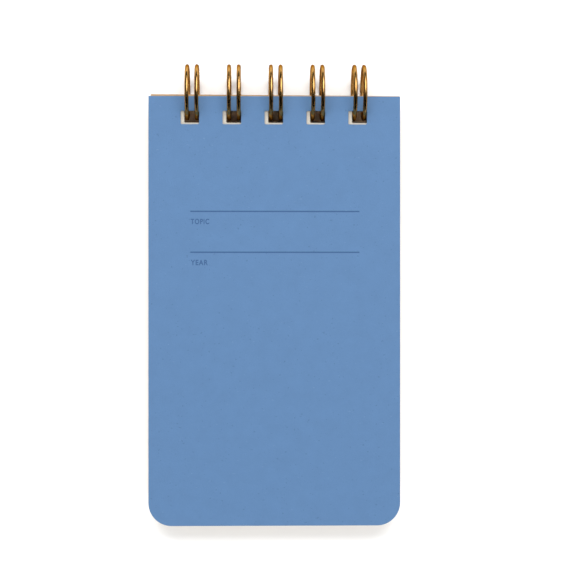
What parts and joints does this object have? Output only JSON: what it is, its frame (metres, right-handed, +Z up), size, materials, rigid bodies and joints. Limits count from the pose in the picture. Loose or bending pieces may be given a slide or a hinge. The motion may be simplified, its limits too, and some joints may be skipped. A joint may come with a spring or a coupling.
{
  "type": "pocket notebook",
  "caption": "Pocket notebook, top bound by five twin wire loops: card cover, paper leaves and stiff back board, all turning on the loops.",
  "frame": {"origin": "middle of the footprint, on the surface the notebook lies on", "axes": "+Y along the page towards the wire loops, +Z up out of the front cover, +X across the page"},
  "size_m": [0.0768, 0.14, 0.017],
  "materials": {
    "cover_card": "matt blue cover card",
    "leaf_paper": "uncoated cream writing paper",
    "back_card": "bare tan greyboard",
    "wire_brass": "antique brass, darkened"
  },
  "bodies": {
    "binding": {"wire_binding": "wire_brass", "back_board": "back_card"},
    "leaf_block": {"leaf_02": "leaf_paper", "leaf_03": "leaf_paper", "leaf_04": "leaf_paper", "leaf_05": "leaf_paper", "leaf_06": "leaf_paper", "leaf_07": "leaf_paper", "leaf_08": "leaf_paper", "leaf_09": "leaf_paper", "leaf_10": "leaf_paper", "leaf_11": "leaf_paper", "leaf_12": "leaf_paper", "leaf_13": "leaf_paper", "leaf_14": "leaf_paper", "leaf_15": "leaf_paper", "leaf_16": "leaf_paper", "leaf_17": "leaf_paper", "leaf_18": "leaf_paper", "leaf_19": "leaf_paper", "leaf_20": "leaf_paper", "leaf_21": "leaf_paper", "leaf_22": "leaf_paper", "leaf_23": "leaf_paper", "leaf_24": "leaf_paper", "leaf_25": "leaf_paper", "leaf_26": "leaf_paper", "leaf_27": "leaf_paper", "leaf_28": "leaf_paper", "leaf_29": "leaf_paper", "leaf_30": "leaf_paper", "leaf_31": "leaf_paper", "leaf_32": "leaf_paper", "leaf_33": "leaf_paper", "leaf_34": "leaf_paper", "leaf_35": "leaf_paper", "leaf_36": "leaf_paper", "leaf_37": "leaf_paper", "leaf_38": "leaf_paper", "leaf_39": "leaf_paper", "leaf_40": "leaf_paper", "leaf_41": "leaf_paper", "leaf_42": "leaf_paper", "leaf_43": "leaf_paper", "leaf_44": "leaf_paper", "leaf_45": "leaf_paper", "leaf_46": "leaf_paper", "leaf_47": "leaf_paper", "leaf_48": "leaf_paper", "leaf_49": "leaf_paper", "leaf_50": "leaf_paper"},
    "first_leaf": {"leaf_01": "leaf_paper"},
    "front_cover": {"front_cover": "cover_card"}
  },
  "joints": [
    {"name": "leaf_block_turn", "type": "hinge", "parent": "binding", "child": "leaf_block", "pos_m": [0.00047, 0.06151, 0.00852], "axis": [-1, 0, 0], "range_deg": [0, 8]},
    {"name": "first_leaf_turn", "type": "hinge", "parent": "leaf_block", "child": "first_leaf", "pos_m": [0.00047, 0.06151, 0.00852], "axis": [-1, 0, 0], "range_deg": [0, 15]},
    {"name": "cover_turn", "type": "hinge", "parent": "first_leaf", "child": "front_cover", "pos_m": [0.00047, 0.06151, 0.00852], "axis": [-1, 0, 0], "range_deg": [0, 160]}
  ]
}
